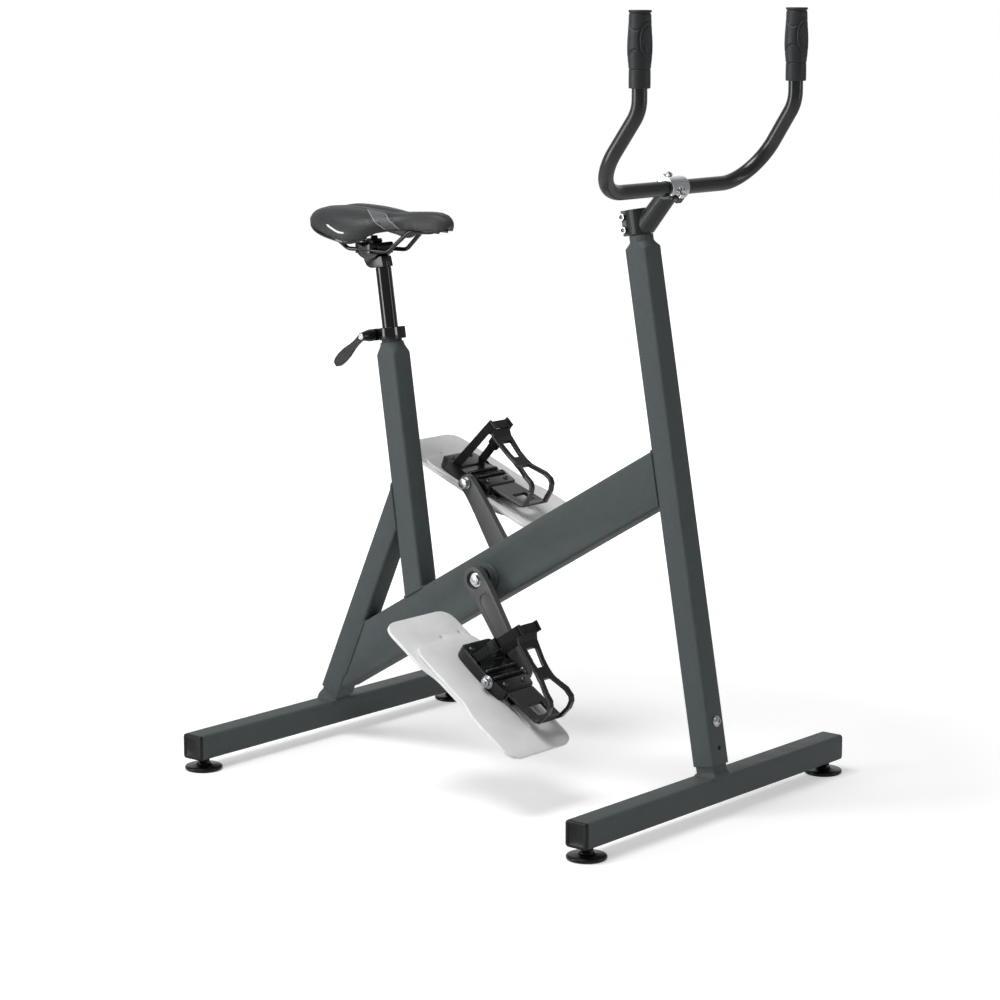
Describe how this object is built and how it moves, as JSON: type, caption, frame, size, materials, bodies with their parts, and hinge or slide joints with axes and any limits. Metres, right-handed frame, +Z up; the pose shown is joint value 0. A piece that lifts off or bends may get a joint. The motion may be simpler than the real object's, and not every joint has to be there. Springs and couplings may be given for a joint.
{
  "type": "aqua bike",
  "caption": "Underwater exercise bike: welded square-tube frame on two cross feet, cranks with paddle pedals and toe cages, height-adjustable saddle and upright handlebar.",
  "frame": {"origin": "on the floor, midway between the front and rear feet, in the bike's middle plane", "axes": "+X forward, towards the handlebar; +Y to the rider's left; +Z up"},
  "size_m": [0.8306, 0.6678, 1.1967],
  "materials": {
    "powder_coat": "satin anthracite powder coat",
    "satin_black": "satin black coat",
    "gloss_black": "gloss black coat",
    "black_plastic": "moulded, fine matt",
    "stainless": "bright stainless",
    "polished": "polished",
    "crank_alloy": "dark satin anodised",
    "grip_rubber": "matt",
    "saddle_cover": "satin vinyl cover over foam",
    "webbing": "woven nylon",
    "paddle_plastic": "smooth, translucent white"
  },
  "bodies": {
    "frame": {"front_foot": "powder_coat", "rear_foot": "powder_coat", "front_foot_cap_right": "black_plastic", "front_foot_cap_left": "black_plastic", "rear_foot_cap_right": "black_plastic", "rear_foot_cap_left": "black_plastic", "front_post": "powder_coat", "post_bolt": "stainless", "rear_brace": "powder_coat", "brace_bolt": "stainless", "main_beam": "powder_coat", "seat_tube": "powder_coat", "bottom_bracket_shell": "powder_coat", "bearing_cup_left": "black_plastic", "bearing_cup_right": "black_plastic", "seat_collar": "satin_black", "collar_screw": "stainless", "stem": "satin_black", "stem_faceplate": "polished", "faceplate_bolt_upper": "stainless", "faceplate_bolt_lower": "stainless"},
    "crankset": {"crank_spindle": "stainless", "crank_right": "crank_alloy", "crank_left": "crank_alloy", "crank_bolt_right": "stainless", "crank_bolt_left": "stainless", "pedal_axle_right": "stainless", "pedal_axle_left": "stainless"},
    "pedal_right": {"pedal_body_right": "black_plastic", "toe_cage_right": "black_plastic", "toe_strap_right": "webbing", "strap_buckle_right": "stainless"},
    "pedal_left": {"pedal_body_left": "black_plastic", "toe_cage_left": "black_plastic", "toe_strap_left": "webbing", "strap_buckle_left": "stainless"},
    "upper_paddle_right": {"paddle_upper_right": "paddle_plastic"},
    "lower_paddle_right": {"paddle_lower_right": "paddle_plastic"},
    "upper_paddle_left": {"paddle_upper_left": "paddle_plastic"},
    "lower_paddle_left": {"paddle_lower_left": "paddle_plastic"},
    "seatpost_body": {"seatpost": "gloss_black", "clamp_head": "satin_black", "clamp_bolt": "stainless"},
    "saddle_clamp": {"clamp_jaw_lower": "satin_black", "clamp_jaw_upper": "satin_black"},
    "saddle": {"saddle_rails": "satin_black", "saddle_base": "black_plastic", "saddle_pad": "saddle_cover"},
    "lever": {"clamp_lever": "satin_black"},
    "bars": {"handlebar": "satin_black", "grip_right": "grip_rubber", "grip_left": "grip_rubber"},
    "foot_screw_front_right": {"levelling_pad_front_right": "black_plastic", "levelling_stud_front_right": "stainless"},
    "foot_screw_front_left": {"levelling_pad_front_left": "black_plastic", "levelling_stud_front_left": "stainless"},
    "foot_screw_rear_right": {"levelling_pad_rear_right": "black_plastic", "levelling_stud_rear_right": "stainless"},
    "foot_screw_rear_left": {"levelling_pad_rear_left": "black_plastic", "levelling_stud_rear_left": "stainless"}
  },
  "joints": [
    {"name": "crank_spin", "type": "hinge", "parent": "frame", "child": "crankset", "pos_m": [-0.03618, 0, 0.31146], "axis": [0, 1, 0], "continuous": true},
    {"name": "pedal_spin_right", "type": "hinge", "parent": "crankset", "child": "pedal_right", "pos_m": [0.07647, 0, 0.18414], "axis": [0, 1, 0], "continuous": true},
    {"name": "pedal_spin_left", "type": "hinge", "parent": "crankset", "child": "pedal_left", "pos_m": [-0.14883, 0, 0.43878], "axis": [0, 1, 0], "continuous": true},
    {"name": "paddle_slide_upper_right", "type": "slide", "parent": "pedal_right", "child": "upper_paddle_right", "axis": [0.8241, 0, -0.5664], "range_m": [-0.07, 0]},
    {"name": "paddle_slide_lower_right", "type": "slide", "parent": "pedal_right", "child": "lower_paddle_right", "axis": [0.8241, 0, -0.5664], "range_m": [-0.014, 0.056]},
    {"name": "paddle_slide_upper_left", "type": "slide", "parent": "pedal_left", "child": "upper_paddle_left", "axis": [0.9272, 0, -0.3746], "range_m": [-0.07, 0]},
    {"name": "paddle_slide_lower_left", "type": "slide", "parent": "pedal_left", "child": "lower_paddle_left", "axis": [0.9272, 0, -0.3746], "range_m": [-0.014, 0.056]},
    {"name": "seat_height", "type": "slide", "parent": "frame", "child": "seatpost_body", "axis": [-0.1454, 0, 0.9894], "range_m": [-0.085, 0.12]},
    {"name": "seat_tilt", "type": "hinge", "parent": "seatpost_body", "child": "saddle_clamp", "pos_m": [-0.287, 0, 0.826], "axis": [0, 1, 0], "range_deg": [-8, 8]},
    {"name": "saddle_slide", "type": "slide", "parent": "saddle_clamp", "child": "saddle", "axis": [1, 0, 0], "range_m": [-0.012, 0.004]},
    {"name": "lever_turn", "type": "hinge", "parent": "frame", "child": "lever", "pos_m": [-0.28096, 0, 0.67482], "axis": [0, 1, 0], "range_deg": [-110, 0]},
    {"name": "bar_tilt", "type": "hinge", "parent": "frame", "child": "bars", "pos_m": [0.30304, 0, 0.93598], "axis": [0, 1, 0], "range_deg": [-20, 20]},
    {"name": "level_front_right", "type": "slide", "parent": "frame", "child": "foot_screw_front_right", "axis": [0, 0, -1], "range_m": [0, 0.02]},
    {"name": "level_front_left", "type": "slide", "parent": "frame", "child": "foot_screw_front_left", "axis": [0, 0, -1], "range_m": [0, 0.02]},
    {"name": "level_rear_right", "type": "slide", "parent": "frame", "child": "foot_screw_rear_right", "axis": [0, 0, -1], "range_m": [0, 0.02]},
    {"name": "level_rear_left", "type": "slide", "parent": "frame", "child": "foot_screw_rear_left", "axis": [0, 0, -1], "range_m": [0, 0.02]}
  ]
}
